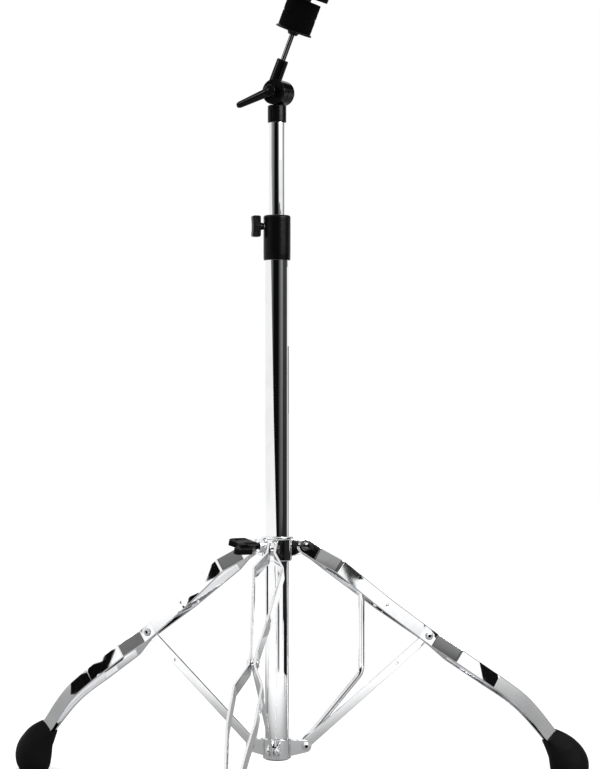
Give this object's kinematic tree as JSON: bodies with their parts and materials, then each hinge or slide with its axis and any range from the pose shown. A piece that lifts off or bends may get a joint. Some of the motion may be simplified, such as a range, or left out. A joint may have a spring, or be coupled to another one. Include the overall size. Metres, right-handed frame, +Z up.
{
  "type": "straight cymbal stand",
  "caption": "Straight cymbal stand: a folding tripod of bowed double strips with braces, a two-stage chromed tube, a ratchet tilter and a felt cymbal seat.",
  "frame": {"origin": "the middle of the bounding box at floor level, under the stand", "axes": "+Z up along the tubes; +X to the right and +Y away, seen from the front of the picture"},
  "size_m": [0.7397, 0.6887, 1.004],
  "materials": {
    "chrome": "bright chrome plate, lightly worn",
    "plated_steel": "nickel or zinc plated steel",
    "black_cast": "black enamelled die casting, half gloss",
    "black_plastic": "moulded black nylon, fine grain",
    "rubber": "moulded black rubber",
    "felt": "pressed black wool felt",
    "nylon": "smooth dark nylon"
  },
  "bodies": {
    "root": {"base_tube": "chrome", "base_tube_end_plug": "black_plastic", "bottom_collar": "chrome", "height_collar": "black_plastic", "height_collar_bush": "nylon", "right_collar_rivet": "plated_steel", "left_collar_rivet": "plated_steel", "front_collar_rivet": "plated_steel"},
    "hub": {"leg_hub": "chrome", "right_hub_pivot_rivet": "plated_steel", "left_hub_pivot_rivet": "plated_steel", "front_hub_pivot_rivet": "plated_steel"},
    "right_leg": {"right_leg_strip_left": "chrome", "right_leg_strip_right": "chrome", "right_leg_joint_rivet_left": "plated_steel", "right_leg_joint_rivet_right": "plated_steel", "right_rubber_foot": "rubber"},
    "left_leg": {"left_leg_strip_left": "chrome", "left_leg_strip_right": "chrome", "left_leg_joint_rivet_left": "plated_steel", "left_leg_joint_rivet_right": "plated_steel", "left_rubber_foot": "rubber"},
    "front_leg": {"front_leg_strip_left": "chrome", "front_leg_strip_right": "chrome", "front_leg_joint_rivet_left": "plated_steel", "front_leg_joint_rivet_right": "plated_steel", "front_rubber_foot": "rubber"},
    "right_brace_link": {"right_brace": "chrome"},
    "left_brace_link": {"left_brace": "chrome"},
    "front_brace_link": {"front_brace": "chrome"},
    "right_stay": {"right_stay_bar": "chrome"},
    "hub_wing": {"leg_hub_wing_screw": "plated_steel", "leg_hub_wing_knob": "black_plastic"},
    "collar_wing": {"height_wing_screw": "plated_steel", "height_wing_knob": "black_plastic"},
    "mast": {"upper_tube": "chrome"},
    "tilter": {"tilter_body": "black_cast", "tilter_bolt": "plated_steel"},
    "lever": {"tilter_wing_lever": "black_cast"},
    "arm": {"tilter_arm": "black_cast", "cymbal_rod": "plated_steel", "cup_washer": "black_plastic", "cymbal_sleeve": "nylon", "lower_felt_1": "felt", "lower_felt_2": "felt"},
    "upper_felt": {"top_felt": "felt"},
    "wing_nut": {"cymbal_wing_nut": "plated_steel"}
  },
  "joints": [
    {"name": "hub_slide", "type": "slide", "parent": "root", "child": "hub", "axis": [0, 0, 1], "range_m": [0, 0.165]},
    {"name": "right_leg_fold", "type": "hinge", "parent": "hub", "child": "right_leg", "pos_m": [0.00837, 0.09014, 0.309], "axis": [-0.3907, 0.9205, 0], "range_deg": [0, 46.7]},
    {"name": "left_leg_fold", "type": "hinge", "parent": "hub", "child": "left_leg", "pos_m": [-0.0518, 0.09753, 0.309], "axis": [-0.6018, -0.7986, 0], "range_deg": [0, 46.7]},
    {"name": "front_leg_fold", "type": "hinge", "parent": "hub", "child": "front_leg", "pos_m": [-0.02812, 0.04173, 0.309], "axis": [0.9925, -0.1219, 0], "range_deg": [0, 46.7]},
    {"name": "right_brace_fold", "type": "hinge", "parent": "root", "child": "right_brace_link", "pos_m": [0.00837, 0.09014, 0.0685], "axis": [-0.3907, 0.9205, 0], "range_deg": [-44.6, 0]},
    {"name": "left_brace_fold", "type": "hinge", "parent": "root", "child": "left_brace_link", "pos_m": [-0.0518, 0.09753, 0.0685], "axis": [-0.6018, -0.7986, 0], "range_deg": [-44.6, 0]},
    {"name": "front_brace_fold", "type": "hinge", "parent": "root", "child": "front_brace_link", "pos_m": [-0.02812, 0.04173, 0.0685], "axis": [0.9925, -0.1219, 0], "range_deg": [-44.6, 0]},
    {"name": "right_stay_swing", "type": "hinge", "parent": "root", "child": "right_stay", "pos_m": [0.00837, 0.09014, 0.0685], "axis": [-0.3907, 0.9205, 0], "range_deg": [-25.1, 0]},
    {"name": "hub_wing_turn", "type": "hinge", "parent": "hub", "child": "hub_wing", "pos_m": [-0.04972, 0.06575, 0.311], "axis": [-0.9239, -0.3827, 0], "continuous": true},
    {"name": "height_wing_turn", "type": "hinge", "parent": "root", "child": "collar_wing", "pos_m": [-0.04404, 0.07068, 0.6934], "axis": [-0.9613, -0.2756, 0], "continuous": true},
    {"name": "height_slide", "type": "slide", "parent": "root", "child": "mast", "axis": [0, 0, 1], "range_m": [-0.1, 0.36]},
    {"name": "mast_swivel", "type": "hinge", "parent": "mast", "child": "tilter", "pos_m": [-0.02385, 0.07647, 0.826], "axis": [0, 0, 1], "continuous": true},
    {"name": "tilt", "type": "hinge", "parent": "tilter", "child": "arm", "pos_m": [-0.02385, 0.07647, 0.8545], "axis": [0.4695, 0.8829, 0], "range_deg": [-113.3, 66.7]},
    {"name": "lever_turn", "type": "hinge", "parent": "tilter", "child": "lever", "pos_m": [-0.02385, 0.07647, 0.8545], "axis": [0.4695, 0.8829, 0], "continuous": true},
    {"name": "top_felt_lift", "type": "slide", "parent": "arm", "child": "upper_felt", "axis": [0.3492, -0.1857, 0.9184], "range_m": [-0.005, 0.03]},
    {"name": "wing_nut_turn", "type": "hinge", "parent": "upper_felt", "child": "wing_nut", "pos_m": [0.01836, 0.04814, 0.98406], "axis": [0.3492, -0.1857, 0.9184], "continuous": true}
  ],
  "couplings": [
    {"joint": "right_leg_fold", "follows": "hub_slide", "rad_per_m": 4.9312},
    {"joint": "left_leg_fold", "follows": "hub_slide", "rad_per_m": 4.9312},
    {"joint": "front_leg_fold", "follows": "hub_slide", "rad_per_m": 4.9312},
    {"joint": "right_brace_fold", "follows": "hub_slide", "rad_per_m": -4.7071},
    {"joint": "left_brace_fold", "follows": "hub_slide", "rad_per_m": -4.7071},
    {"joint": "front_brace_fold", "follows": "hub_slide", "rad_per_m": -4.7071},
    {"joint": "right_stay_swing", "follows": "hub_slide", "rad_per_m": -2.6444}
  ]
}
